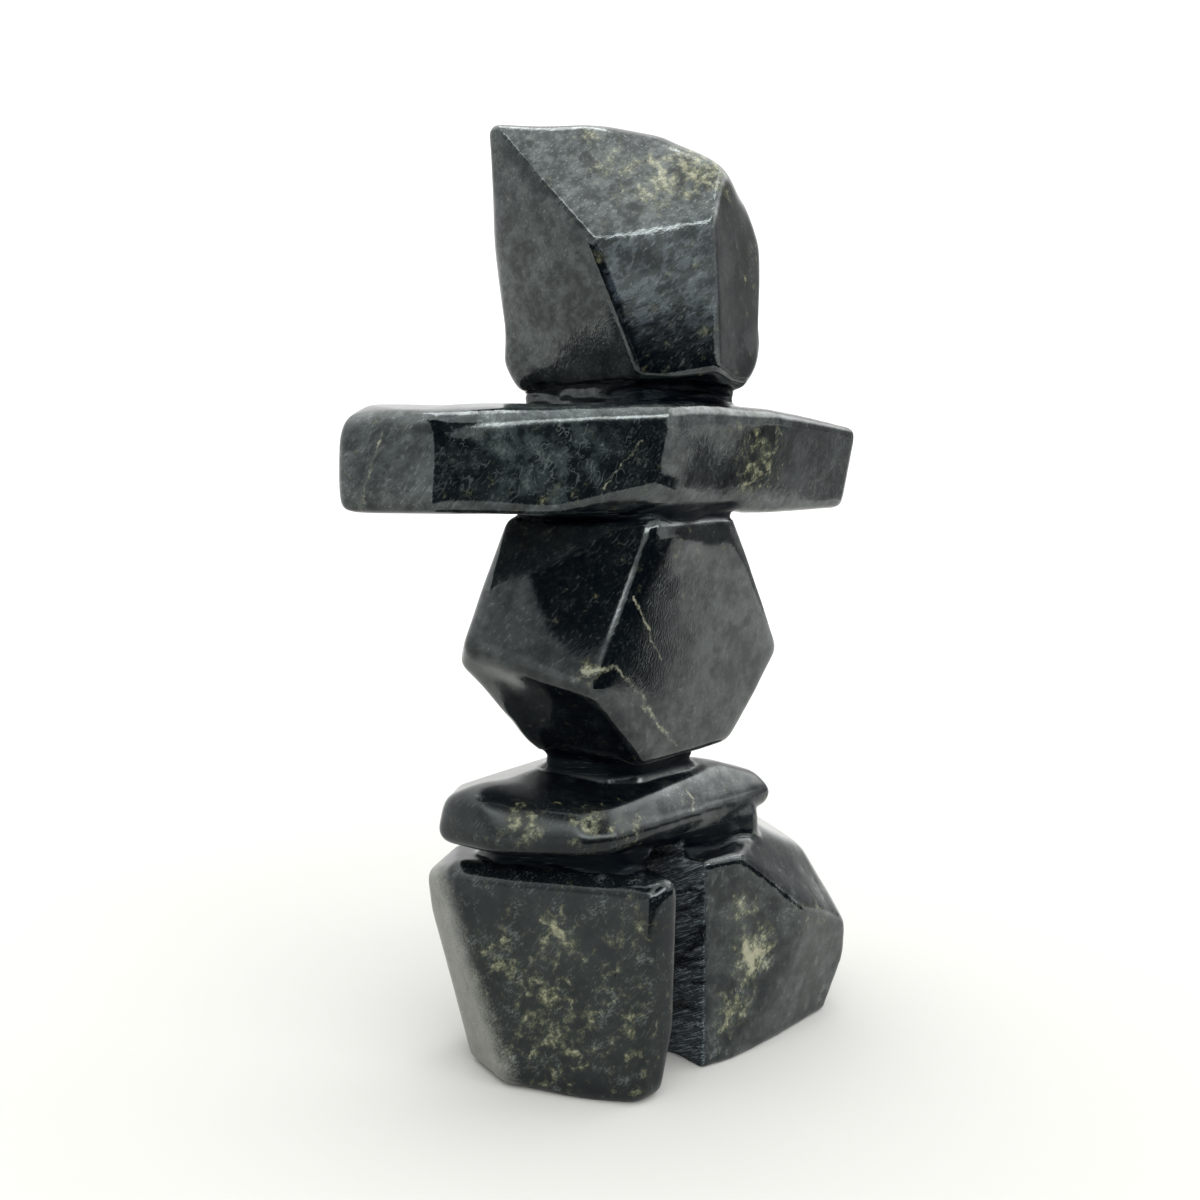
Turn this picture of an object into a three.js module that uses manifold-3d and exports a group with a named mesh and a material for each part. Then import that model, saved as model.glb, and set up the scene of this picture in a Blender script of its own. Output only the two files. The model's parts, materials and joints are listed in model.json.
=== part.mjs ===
// A standing figure of stacked boulders, carved from one piece of dark green stone.
// Head, arms, torso and hips are cut stones joined by narrower necks, over two legs with a slot between.
// Millimetres, +Z up, front facing -Y. Left and right are as seen from the front: left is -X.
import * as THREE from "three";
import { ConvexGeometry } from "three/addons/geometries/ConvexGeometry.js";
import { mergeVertices } from "three/addons/utils/BufferGeometryUtils.js";
import Module from "manifold-3d";

const wasm = await Module();
wasm.setup();

// Driving sizes
const HEIGHT = 272;
const ARM_SPAN = 177;
const SLOT_TOP_WIDTH = 12;
const SLOT_FLOOR_WIDTH = 16;
const SLOT_HEIGHT = 66;
const SOFT_EDGE = 4;
const FIRM_EDGE = 2.5;
const CRISP_EDGE = 1.5;

// The slot's right wall stands upright this far right of the torso's middle
const SLOT_WALL_X = 7;

// Steps across each softened edge
const EDGE_STEPS = 3;

// Proportions and carving are given in hundredths of the height
const SHARE = HEIGHT / 100;

// Each stone is what its cuts leave. A cut is a plane: heading and rise in degrees, then its reach.
// Heading 0 faces the front and 90 faces the right side, rise is up from the horizontal.
// Reach is the distance of the plane from the stone's centre, in hundredths of the height.
const HEAD = {
  centre: [0.7, 0, 87.1],
  edge: FIRM_EDGE,
  cuts: {
    face: [-30, 0, 10.7],
    brow: [-35, 25, 10.3],
    leftCheek: [-85, -17, 9.4],
    rightCheek: [20, 2, 13.1],
    rightTemple: [50, 55, 13.4],
    crown: [0, 90, 12.9],
    rightSide: [85, -3, 14.6],
    rightTop: [70, 35, 14.5],
    rightJaw: [70, -40, 17.6],
    chin: [-8, -62, 16.5],
    leftJaw: [-85, -60, 14.2],
    seat: [0, -90, 13.2],
    back: [172, 4, 11],
    backLeft: [-137, -2, 11.8],
    backLeftJaw: [-130, -30, 14.9],
    backRight: [125, 5, 14],
    backTop: [180, 50, 14.7],
  },
};

// The arms reach further to the right of their centre than to the left
const ARM_OFFSET = 5;
const LEFT_ARM = (ARM_SPAN / 2 - ARM_OFFSET) / SHARE;
const RIGHT_ARM = (ARM_SPAN / 2 + ARM_OFFSET) / SHARE;
const ARMS = {
  centre: [-1.8, 0, 66.2],
  edge: FIRM_EDGE,
  cuts: {
    middle: [-20, -3, 13.5],
    rightFront: [6, -12, 12.5],
    leftFront: [-60, 0, 24.3],
    top: [-43, 84, 4.8],
    rightTop: [90, 86, 6.1],
    under: [-90, -89, 5.6],
    lip: [-8, -45, 11.2],
    leftEnd: [-100, 0, LEFT_ARM],
    leftEndTop: [-100, 18, LEFT_ARM - 1.8],
    rightEnd: [88, 0, RIGHT_ARM],
    back: [178, 0, 11],
    backLeft: [-160, 0, 14],
    backRight: [160, 0, 15.4],
  },
};

const TORSO = {
  centre: [1.1, 0, 46],
  edge: SOFT_EDGE,
  cuts: {
    leftBreast: [-53, 19, 15.4],
    rightBreast: [6, -5, 10.2],
    leftWaist: [-75, -45, 13.2],
    rightUpper: [75, 33, 16.4],
    rightLower: [75, -40, 17.1],
    top: [0, 90, 14.3],
    seat: [0, -90, 12.1],
    backUpper: [170, 20, 12.5],
    backLower: [175, -22, 12.5],
    backLeftUpper: [-135, 19, 14.9],
    backLeftLower: [-135, -35, 13.6],
    backRight: [125, 8, 15.8],
  },
};

const HIPS = {
  centre: [0, 0, 28],
  edge: SOFT_EDGE,
  cuts: {
    leftSide: [-80, 8, 18.2],
    leftFront: [-50, 30, 12.9],
    middle: [-22, 38, 10.3],
    rightFront: [4, 36, 8.1],
    top: [-20, 82, 4],
    crown: [0, 90, 5.1],
    under: [0, -90, 2.3],
    rightSide: [75, 40, 15.3],
    rightTop: [100, 70, 7.2],
    backTop: [-160, 74, 5.7],
    back: [178, 25, 11.8],
    backLeft: [-135, 15, 16.9],
    backRight: [130, 20, 16.2],
  },
};

// The left leg's inner wall leans with the slot, which is wider at the floor
// It stands a hair inside the slot, so that the slot's own wall trims it
const SLOT_TRIM = 0.3;
const SLOT_LEAN = (SLOT_FLOOR_WIDTH - SLOT_TOP_WIDTH) / SLOT_HEIGHT;
const SLOT_LEAN_ANGLE = Math.atan(SLOT_LEAN);
const LEFT_LEG_CENTRE = [-12.5, 2.2, 11.8];
const SLOT_LEFT_AT_CENTRE =
  SLOT_WALL_X - SLOT_FLOOR_WIDTH + SLOT_LEAN * LEFT_LEG_CENTRE[2] * SHARE;
const LEFT_LEG_TO_SLOT =
  ((SLOT_LEFT_AT_CENTRE + SLOT_TRIM) / SHARE - LEFT_LEG_CENTRE[0]) * Math.cos(SLOT_LEAN_ANGLE);
const LEFT_LEG = {
  centre: LEFT_LEG_CENTRE,
  edge: SOFT_EDGE,
  cuts: {
    shin: [-58, 7, 3.7],
    rim: [-58, 50, 9.2],
    front: [-3, 1, 15.5],
    slotFoot: [60, -13, 16.6],
    slotWall: [90, -THREE.MathUtils.radToDeg(SLOT_LEAN_ANGLE), LEFT_LEG_TO_SLOT],
    leftSide: [-100, -7, 4.4],
    backLeft: [-145, -19, 8.1],
    backTop: [-130, 55, 12.4],
    back: [175, 0, 10.3],
    top: [0, 90, 11.2],
    sole: [0, -90, LEFT_LEG_CENTRE[2]],
  },
};

// The right leg runs on to the middle of the slot, whose upright wall then cuts it off
const RIGHT_LEG_CENTRE = [14, 0, 12.5];
const RIGHT_LEG_INNER = RIGHT_LEG_CENTRE[0] - (SLOT_WALL_X - SLOT_TOP_WIDTH / 2) / SHARE;
const RIGHT_LEG = {
  centre: RIGHT_LEG_CENTRE,
  edge: CRISP_EDGE,
  cuts: {
    front: [-7, 0, 13.8],
    lowerFront: [3, -9, 14.3],
    upperFront: [26, 36, 13.4],
    rightLower: [75, -25, 17.4],
    rightUpper: [80, 20, 15.2],
    rightSide: [78, -2, 16.1],
    shoulder: [60, 60, 12.7],
    inner: [-90, 0, RIGHT_LEG_INNER],
    back: [175, 0, 11.8],
    backRight: [130, 5, 16.2],
    top: [0, 90, 10.7],
    sole: [0, -90, RIGHT_LEG_CENTRE[2]],
  },
};

// The necks are narrower stones, each reaching a little way into the two that it joins
const HEAD_NECK = {
  centre: [3.3, 0, 71.6],
  edge: SOFT_EDGE,
  cuts: {
    left: [-85, 0, 7.5],
    leftFront: [-30, 0, 10.6],
    front: [-5, 0, 9.4],
    right: [80, 0, 7.9],
    back: [175, 0, 8.1],
    backRight: [125, 0, 9.5],
    top: [0, 90, 3.2],
    bottom: [0, -90, 3.2],
  },
};

const ARM_NECK = {
  centre: [1.8, 0, 60.5],
  edge: SOFT_EDGE,
  cuts: {
    leftFront: [-53, 0, 11.3],
    front: [4, 0, 10.7],
    right: [75, 0, 9],
    back: [175, 0, 7.9],
    backLeft: [-135, 0, 10.3],
    top: [0, 90, 3.2],
    bottom: [0, -90, 3],
  },
};

const WAIST = {
  centre: [1.8, 0, 32],
  edge: SOFT_EDGE,
  cuts: {
    left: [-70, 0, 7.2],
    leftFront: [-30, 0, 6.9],
    front: [0, 0, 6.3],
    right: [75, 0, 7.5],
    back: [180, 0, 5.9],
    backLeft: [-135, 0, 8.1],
    top: [0, 90, 3.2],
    bottom: [0, -90, 3.2],
  },
};

const LEG_NECK = {
  centre: [1.3, -0.4, 24.4],
  edge: SOFT_EDGE,
  cuts: {
    leftFront: [-58, 0, 11.1],
    front: [-3, 0, 8.8],
    left: [-100, 0, 15.2],
    right: [80, 0, 15.3],
    back: [178, 0, 7.7],
    top: [0, 90, 2.6],
    bottom: [0, -90, 3],
  },
};

// Tolerances in millimetres: for points on a plane, for one shared vertex and for a sliver
const ON_PLANE = 1e-6;
const SAME_POINT = 1e-4;
const SLIVER = 0.015;

// The cutter of the slot runs this far past the floor, so that it cuts right through
const CUTTER_OVERRUN = 5;

// Planes closer to parallel than this have no meeting point
const NEARLY_PARALLEL = 1e-4;

// The closed solid of a geometry whose triangles face outwards
function solidOf(geometry) {
  const plain = geometry.clone();
  plain.deleteAttribute("normal");
  plain.deleteAttribute("uv");
  const merged = mergeVertices(plain, SAME_POINT);
  const corners = merged.index.array;
  const kept = [];
  for (let i = 0; i < corners.length; i += 3) {
    const [a, b, c] = corners.slice(i, i + 3);
    if (a !== b && b !== c && c !== a) kept.push(a, b, c);
  }
  const mesh = new wasm.Mesh({
    numProp: 3,
    vertProperties: new Float32Array(merged.attributes.position.array),
    triVerts: new Uint32Array(kept),
  });
  return new wasm.Manifold(mesh);
}

// The outward direction of a cut
function facing(heading, rise) {
  const turn = THREE.MathUtils.degToRad(heading);
  const lift = THREE.MathUtils.degToRad(rise);
  return new THREE.Vector3(
    Math.sin(turn) * Math.cos(lift),
    -Math.cos(turn) * Math.cos(lift),
    Math.sin(lift),
  );
}

// The point where three planes meet, or null where two of them are parallel
function meeting(a, b, c) {
  const across = new THREE.Vector3().crossVectors(b.normal, c.normal);
  const spread = a.normal.dot(across);
  if (Math.abs(spread) < NEARLY_PARALLEL) return null;
  return across
    .multiplyScalar(a.reach)
    .addScaledVector(new THREE.Vector3().crossVectors(c.normal, a.normal), b.reach)
    .addScaledVector(new THREE.Vector3().crossVectors(a.normal, b.normal), c.reach)
    .divideScalar(spread);
}

// Directions spread evenly over the corner between three cuts
function cornerDirections(a, b, c) {
  const directions = [];
  for (let i = 0; i <= EDGE_STEPS; i++) {
    for (let j = 0; j <= EDGE_STEPS - i; j++) {
      const direction = new THREE.Vector3()
        .addScaledVector(a, i)
        .addScaledVector(b, j)
        .addScaledVector(c, EDGE_STEPS - i - j);
      directions.push(direction.normalize());
    }
  }
  return directions;
}

// A stone: the body inside all its cuts, with every edge and corner softened to the edge radius
function cutStone({ centre, edge, cuts }) {
  const middle = new THREE.Vector3(...centre).multiplyScalar(SHARE);
  const planes = Object.values(cuts).map(([heading, rise, reach]) => ({
    normal: facing(heading, rise),
    reach: reach * SHARE - edge,
  }));
  const points = [];
  for (let i = 0; i < planes.length; i++) {
    for (let j = i + 1; j < planes.length; j++) {
      for (let k = j + 1; k < planes.length; k++) {
        const corner = meeting(planes[i], planes[j], planes[k]);
        if (!corner) continue;
        if (planes.some((plane) => plane.normal.dot(corner) > plane.reach + ON_PLANE)) continue;
        for (const direction of cornerDirections(
          planes[i].normal,
          planes[j].normal,
          planes[k].normal,
        )) {
          points.push(corner.clone().addScaledVector(direction, edge).add(middle));
        }
      }
    }
  }
  return solidOf(new ConvexGeometry(points));
}

// The slot between the legs, open to the floor and through from front to back
function slot() {
  const lowest = -CUTTER_OVERRUN;
  const outline = new THREE.Shape();
  outline.moveTo(SLOT_WALL_X, lowest);
  outline.lineTo(SLOT_WALL_X, SLOT_HEIGHT);
  outline.lineTo(SLOT_WALL_X - SLOT_TOP_WIDTH, SLOT_HEIGHT);
  outline.lineTo(SLOT_WALL_X - SLOT_FLOOR_WIDTH + SLOT_LEAN * lowest, lowest);
  outline.closePath();
  const bar = new THREE.ExtrudeGeometry(outline, { depth: HEIGHT, bevelEnabled: false });
  bar.translate(0, 0, -HEIGHT / 2).rotateX(Math.PI / 2);
  return solidOf(bar);
}

const STONES = [HEAD, HEAD_NECK, ARMS, ARM_NECK, TORSO, WAIST, HIPS, LEG_NECK, LEFT_LEG, RIGHT_LEG];
let body = STONES.map(cutStone).reduce((joined, stone) => joined.add(stone));
body = body.subtract(slot());

// Slivers left where stones join are closed up
body = body.simplify(SLIVER);

// The origin is under the middle of the whole figure, on the floor
const box = body.boundingBox();
body = body.translate([
  -(box.min[0] + box.max[0]) / 2,
  -(box.min[1] + box.max[1]) / 2,
  -box.min[2],
]);

const carved = body.getMesh();
const geometry = new THREE.BufferGeometry();
geometry.setAttribute(
  "position",
  new THREE.BufferAttribute(new Float32Array(carved.vertProperties), carved.numProp),
);
geometry.setIndex(new THREE.BufferAttribute(new Uint32Array(carved.triVerts), 1));
geometry.computeVertexNormals();

const stone = new THREE.MeshStandardMaterial({ color: 0x2b322d, roughness: 0.35, metalness: 0 });
const figure = new THREE.Mesh(geometry, stone);
figure.name = "carved_figure";

const part = new THREE.Group();
part.add(figure);

export default part;
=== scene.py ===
# %% [markdown]
# # A carved stone figure, polished and rasped
#
# The real object is one piece of dark green serpentine. Its maker sawed and filed it into stacked boulders
# and sanded the flat cuts until they shone. The necks and the slot between the legs stayed as rasped.
# The imported model already has the cuts in their places, but its faces are perfectly flat and its edges even.
# This script takes that form, works it as a stone carver would, and dresses it in a procedural stone.
#
# The first cell loads the imported model, which stays as it is. Everything below is in metres, +Z up, and the
# front of the figure faces -Y.

# %% Load the imported figure
import itertools
import json
import math

import bpy
import numpy as np
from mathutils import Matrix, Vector

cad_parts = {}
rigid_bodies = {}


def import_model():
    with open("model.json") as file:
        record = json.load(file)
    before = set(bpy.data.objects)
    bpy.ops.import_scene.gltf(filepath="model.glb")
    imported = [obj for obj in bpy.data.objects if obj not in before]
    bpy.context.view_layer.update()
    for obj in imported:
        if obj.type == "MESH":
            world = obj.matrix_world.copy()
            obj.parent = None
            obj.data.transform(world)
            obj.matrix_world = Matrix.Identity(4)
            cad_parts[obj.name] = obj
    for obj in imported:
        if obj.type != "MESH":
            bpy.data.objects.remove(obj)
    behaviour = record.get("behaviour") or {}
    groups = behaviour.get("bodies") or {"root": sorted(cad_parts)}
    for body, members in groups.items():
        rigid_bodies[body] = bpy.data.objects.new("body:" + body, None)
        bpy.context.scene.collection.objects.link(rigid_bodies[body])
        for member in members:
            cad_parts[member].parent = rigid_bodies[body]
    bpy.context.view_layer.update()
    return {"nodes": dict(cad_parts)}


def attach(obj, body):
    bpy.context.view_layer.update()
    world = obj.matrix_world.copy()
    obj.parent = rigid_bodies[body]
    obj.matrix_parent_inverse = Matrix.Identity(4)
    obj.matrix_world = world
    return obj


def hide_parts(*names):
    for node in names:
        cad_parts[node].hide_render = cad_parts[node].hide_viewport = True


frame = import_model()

MM = 0.001

# %% [markdown]
# ## An even skin to carve on
#
# Rasp grooves and softened ridges need many small faces, all of about the same size. Subdividing the packed
# mesh would copy its long thin triangles, and sculpting by hand couldn't be repeated. A voxel remesh rebuilds
# the closed surface on a fine grid instead, with nothing of the form lost at 0.7 mm.

# %% Remesh a copy of the figure
GRID = 0.7 * MM


def bake_modifiers(worked):
    """Turns an object's modifiers into its real mesh."""
    depsgraph = bpy.context.evaluated_depsgraph_get()
    mesh = bpy.data.meshes.new_from_object(worked.evaluated_get(depsgraph))
    worked.modifiers.clear()
    worked.data = mesh


figure = bpy.data.objects.new("carved_stone", frame["nodes"]["carved_figure"].data.copy())
bpy.context.scene.collection.objects.link(figure)
grid = figure.modifiers.new("even grid", "REMESH")
grid.mode = "VOXEL"
grid.voxel_size = GRID
bake_modifiers(figure)
print("vertices on the even grid:", len(figure.data.vertices))

# %% [markdown]
# ## Softened ridges
#
# Sanding rounds a ridge, more where the hand lingers: the crown of the head, the ends of the arms and the
# shoulders of the legs are rounder than the rest. A Bevel modifier would give every ridge the same even
# round, which no hand makes. A list of places says how hard each was rubbed, read off the photograph.

# %% Where the sanding went further
# Centre and radius in millimetres, and how hard it rubs there from 0 to 1
SOFT_PLACES = {
    "crown, right": ((24, -8, 268), 36, 1.0),
    "crown, front corner": ((3, -17, 269), 24, 1.0),
    "crown, left": ((-30, -6, 270), 16, 0.35),
    "crown, back": ((0, 28, 262), 30, 0.5),
    "head, left back": ((-28, 18, 240), 24, 0.4),
    "head, right": ((38, -8, 240), 26, 0.8),
    "head, right jaw": ((36, 0, 210), 16, 0.4),
    "head, front ridge": ((-8, -29, 241), 15, 0.22),
    "left hand": ((-88, 4, 178), 22, 0.5),
    "right hand": ((88, -6, 180), 30, 1.0),
    "arms, lower front edge": ((8, -30, 169), 34, 0.7),
    "left arm, corner": ((-66, -17, 181), 24, 0.7),
    "torso, ridge": ((-22, -31, 138), 32, 0.22),
    "torso, left": ((-44, -2, 124), 24, 0.4),
    "torso, right": ((48, -4, 118), 28, 0.6),
    "torso, lower right": ((32, -10, 98), 26, 0.5),
    "arms, upper front edge, left": ((-48, -14, 191), 26, 0.25),
    "arms, upper front edge, middle": ((-18, -28, 192), 26, 0.25),
    "hip, left": ((-50, 0, 80), 26, 0.5),
    "hip, right": ((46, -12, 78), 26, 0.4),
    "hip, lower edge, left": ((-38, -18, 71), 22, 0.4),
    "hip, lower edge, middle": ((-8, -26, 70), 26, 0.35),
    "hip, lower edge, right": ((26, -27, 70), 24, 0.3),
    "left leg, rim": ((-42, -6, 60), 22, 0.35),
    "left leg, rim by the slot": ((-18, -32, 60), 14, 0.3),
    "left leg, left edge": ((-47, 8, 34), 34, 0.6),
    "left leg, foot": ((-34, -20, 2), 26, 0.25),
    "right leg, shoulder": ((60, -28, 46), 36, 0.9),
    "right leg, upper ridge": ((33, -36, 50), 34, 0.22),
    "right leg, back": ((70, 20, 40), 34, 0.6),
    "right leg, low ridge": ((46, -37, 24), 24, 0.35),
}
print("soft places:", len(SOFT_PLACES))

# %% [markdown]
# ## Rub down the ridges
#
# A Smooth modifier moves every vertex towards its neighbours, as sandpaper does, and a vertex group tells it
# how hard to rub. Every vertex gets a light rub, and those near a soft place get more, fading with distance.

# %% Rub down the ridges
LIGHT_RUB = 0.075
FULL_RUB = 0.3
RUB_LEVELS = 32
RUBS = 220


def fade(value, full, none):
    """1 where value has reached full, 0 where it has reached none, and a smooth change between."""
    share = np.clip((value - none) / (full - none), 0, 1)
    return share * share * (3 - 2 * share)


def positions(mesh):
    """Every vertex of a mesh, in millimetres."""
    flat = np.empty(len(mesh.vertices) * 3)
    mesh.vertices.foreach_get("co", flat)
    return flat.reshape(-1, 3) / MM


skin = positions(figure.data)
rub = np.full(len(skin), LIGHT_RUB)
for centre, radius, strength in SOFT_PLACES.values():
    near = fade(np.linalg.norm(skin - centre, axis=1), FULL_RUB * radius, radius)
    rub = np.maximum(rub, LIGHT_RUB + (strength - LIGHT_RUB) * near)

rubbed = figure.vertex_groups.new(name="rubbed")
levels = np.round(rub * RUB_LEVELS).astype(int)
for level in np.unique(levels):
    rubbed.add(np.flatnonzero(levels == level).tolist(), level / RUB_LEVELS, "REPLACE")

sanding = figure.modifiers.new("sanding", "SMOOTH")
sanding.factor = 0.5
sanding.iterations = RUBS
sanding.vertex_group = "rubbed"
bake_modifiers(figure)
moved = np.linalg.norm(positions(figure.data) - skin, axis=1)
print("sanded away at most, mm:", round(float(moved.max()), 2))

# %% [markdown]
# ## Repeatable noise
#
# Hand work is irregular, so the carving needs noise, and the same noise on every run. Blender's own noise
# functions take one point at a time, which is slow for 300,000 points. This one mixes the whole
# numbers around each point into a fixed random value and blends between them, for all points at once.

# %% Noise for carving
def scattered(cells, seed):
    """A fixed random value from 0 to 1 for each whole-numbered cell."""
    x, y, z = (cells[:, axis].astype(np.uint32) for axis in range(3))
    mixed = x * np.uint32(374761393) + y * np.uint32(668265263) + z * np.uint32(1440662683)
    mixed = mixed + np.uint32(seed) * np.uint32(97463477)
    mixed = (mixed ^ (mixed >> 13)) * np.uint32(1274126177)
    return (mixed ^ (mixed >> 16)) / 2.0**32


def noise(places, size, seed):
    """Smooth noise from -1 to 1 with lumps of a size in millimetres, or of a size along each axis."""
    cells = places / size
    corner = np.floor(cells).astype(np.int64)
    share = cells - corner
    share = share * share * (3 - 2 * share)
    total = np.zeros(len(places))
    for step in itertools.product((0, 1), repeat=3):
        weight = np.where(step, share, 1 - share).prod(axis=1)
        total += weight * scattered(corner + step, seed)
    return 2 * total - 1


print("noise at two places:", noise(np.array([[0.3, 0.6, 0.9], [7.2, 8.1, 9.4]]), 1.0, 1).round(2))

# %% [markdown]
# ## The shoulder of the arms
#
# Behind their front ridge the arms of the real figure rise in a narrow rounded shoulder, which carries the
# long bright line in the polish. The top is lifted here by its distance behind the front cuts, so the line
# follows the ridge wherever it runs, and the lift fades out before the neck and the hands.

# %% Raise the shoulder of the arms
# The arms' front cuts: heading and rise in degrees, then the distance from the arms' middle
ARMS_MIDDLE = (-6.3, 0.3, 180.1)
ARMS_TOP = 192.0
ARM_FRONTS = (((-20, -3), 36.7), ((6, -12), 34.0), ((-60, 0), 66.1))

# The shoulder: how far it rises, how much more right behind the ridge, and where it starts and ends
RIDGE_RISE = 3.6
SHOULDER_RISE = 1.2
SHOULDER_STEEP = 4.0
SHOULDER_LEFT = (-76, -96)
SHOULDER_RIGHT = (-4, 40)
SHOULDER_DEPTH = (12, 34)
ABOVE_MIDDLE = (ARMS_TOP - 2, ARMS_TOP - 18)
BELOW_HEAD = (ARMS_TOP + 2, ARMS_TOP + 8)


def facing(heading, rise):
    """The direction with a heading and a rise in degrees: heading 0 is the front, 90 the right side."""
    turn, lift = math.radians(heading), math.radians(rise)
    return np.array([math.sin(turn) * math.cos(lift), -math.cos(turn) * math.cos(lift), math.sin(lift)])


def directions(mesh):
    """The outward direction at every vertex of a mesh."""
    flat = np.empty(len(mesh.vertices) * 3)
    mesh.vertex_normals.foreach_get("vector", flat)
    return flat.reshape(-1, 3)


skin = positions(figure.data)
outward = directions(figure.data)
behind_front = np.min([reach - (skin - ARMS_MIDDLE) @ facing(*turn) for turn, reach in ARM_FRONTS], axis=0)
along_arm = fade(skin[:, 0], *SHOULDER_LEFT) * fade(skin[:, 0], *SHOULDER_RIGHT)
high_up = fade(skin[:, 2], *ABOVE_MIDDLE) * fade(skin[:, 2], *BELOW_HEAD)
raised = RIDGE_RISE + SHOULDER_RISE * fade(behind_front, SHOULDER_STEEP, 0)
raised = raised * along_arm * fade(behind_front, *SHOULDER_DEPTH) * high_up
skin[:, 2] += raised
print("arms' top raised by at most, mm:", round(float(raised.max()), 2))

# %% [markdown]
# ## Hand-sanded facets
#
# A facet rubbed flat by hand is never quite flat: it swells a little in the middle and waves by a tenth of a
# millimetre, which is what bends the reflections in the polish. Sculpting would do it once and for this size
# alone. Named swellings follow the places where the outline of the real stone bellies out or falls in, and
# two slow layers of noise give the waves.

# %% Where the facets swell
# Centre and radius in millimetres, and how far the stone stands out there
SWELLINGS = {
    "face": ((-7, -29, 228), 27, 0.45),
    "left cheek": ((-32, 4, 234), 34, 2.4),
    "left jaw": ((-20, 21, 204), 16, 2.0),
    "right cheek": ((34, -16, 236), 26, 1.2),
    "right jaw": ((30, -24, 207), 15, 1.8),
    "crown": ((-4, -6, 272), 26, 1.0),
    "crown, front corner": ((2, -17, 270), 18, -1.1),
    "crown, right": ((13, -22, 259), 16, 2.0),
    "left arm, top": ((-52, 10, 192), 34, 1.6),
    "left arm, end": ((-88, 2, 176), 20, 1.0),
    "right arm, front": ((42, -31, 180), 42, 1.1),
    "arms, lower lip": ((-8, -33, 169), 24, 1.5),
    "right arm, end": ((92, -8, 178), 20, 1.2),
    "torso, right of the waist": ((40, -2, 104), 24, 1.8),
    "torso, left of the waist": ((-42, 0, 113), 16, -1.5),
    "torso, by the waist": ((-26, 6, 97), 10, 1.2),
    "hip, left shoulder": ((-44, 8, 86), 16, 1.6),
    "hip, right shoulder": ((34, 4, 87), 18, -1.8),
    "hip, right end": ((46, -6, 74), 12, 1.6),
    "right leg, outer side": ((72, -22, 34), 24, -1.3),
    "feet, left": ((-30, -22, 0), 24, 1.4),
    "feet, right": ((34, -37, 0), 40, 1.1),
    "left side of the torso": ((-40, -8, 140), 20, 0.6),
    "right side of the torso": ((44, -6, 138), 22, 0.6),
    "left leg, front": ((-33, -16, 28), 26, 0.6),
    "right leg, front": ((34, -37, 26), 28, 0.7),
}
print("swellings:", len(SWELLINGS))

# %% Swell and wave the facets
# Size and depth of each layer of waves in millimetres, and its seed
WAVES = ((22.0, 0.16, 11), (9.0, 0.05, 12))

rise = sum(depth * noise(skin, size, seed) for size, depth, seed in WAVES)
for centre, radius, height in SWELLINGS.values():
    rise += height * fade(np.linalg.norm(skin - centre, axis=1), 0, radius)
skin = skin + outward * rise[:, None]
print("facets moved by, mm:", round(float(rise.min()), 2), "to", round(float(rise.max()), 2))

# %% [markdown]
# ## Rasped necks and slot
#
# The necks and the slot were cut with saw and rasp and left raw. Painting them by hand would give a blurred
# border. Each neck is a ring between two heights instead, and each wall of the slot is a plane, so whether a
# vertex is raw follows from where it lies.

# %% Where the stone is raw
# Each neck: its centre and half widths in x and y, between which heights it is raw, and the strokes' slope
NECKS = {
    "under the head": ((7.6, 1.5), (31, 34), (193.0, 202.5), 0.03),
    "under the arms": ((3.5, -1.0), (37, 36), (161.5, 168.5), 0.02),
    "waist": ((3.5, 0.0), (27, 24), (86.0, 94.5), -0.10),
    "above the legs": ((2.1, -1.5), (48, 31), (61.5, 71.0), 0.12),
}
NECK_SIDE = (0.9, 1.0)
EDGE_FADE = 1.6

# The slot's walls: the right one is upright, the left one leans with the height
SLOT_RIGHT = 5.6
SLOT_LEFT = (-10.4, 0.06)
SLOT_TOP = (66.0, 68.0)
WALL_REACH = (0.5, 1.5)

# The left side of the neck under the head was sanded over: how far left, above which height, and how much
SANDED_LEFT = (-12.5, -10.5)
SANDED_ABOVE = (193, 190)
SANDED_SHARE = 0.85


def neck_weight(places, centre, half, heights):
    """1 on a neck and on the stone just above and below it, 0 away from it."""
    across = np.hypot((places[:, 0] - centre[0]) / half[0], (places[:, 1] - centre[1]) / half[1])
    low, high = heights
    inside = fade(across, *NECK_SIDE)
    return inside * fade(places[:, 2], low + EDGE_FADE, low) * fade(places[:, 2], high - EDGE_FADE, high)


def slot_weight(places):
    """1 on the two walls of the slot, 0 away from them."""
    right = np.abs(places[:, 0] - SLOT_RIGHT)
    left = np.abs(places[:, 0] - SLOT_LEFT[0] - SLOT_LEFT[1] * places[:, 2])
    return fade(np.minimum(right, left), *WALL_REACH) * fade(places[:, 2], *SLOT_TOP)


def rasped_weight(places):
    """How raw the stone is at each place, from 0 on the polished facets to 1 in the necks and the slot."""
    weight = slot_weight(places)
    for centre, half, heights, _ in NECKS.values():
        weight = np.maximum(weight, neck_weight(places, centre, half, heights))
    sanded_too = fade(places[:, 0], *SANDED_LEFT) * fade(places[:, 2], *SANDED_ABOVE)
    return weight * (1 - SANDED_SHARE * sanded_too)


print("raw share of the vertices:", round(float((rasped_weight(skin) > 0.5).mean()), 2))

# %% [markdown]
# ## Strokes of the rasp
#
# Each stroke of a rasp is a long shallow groove, so noise stretched along the stroke gives the right pattern:
# lumps 12 to 20 mm long and about 2 mm wide. Folding the noise about zero turns its crossings into sharp
# valleys. The strokes run around each neck and slope a little, and in the slot they run from front to back.

# %% Cut the rasp grooves
# Length, width and depth of the strokes in millimetres, and the seed
STROKES = ((20.0, 2.6, 0.90, 21), (12.0, 1.5, 0.45, 22))
VALLEY = 3

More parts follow.
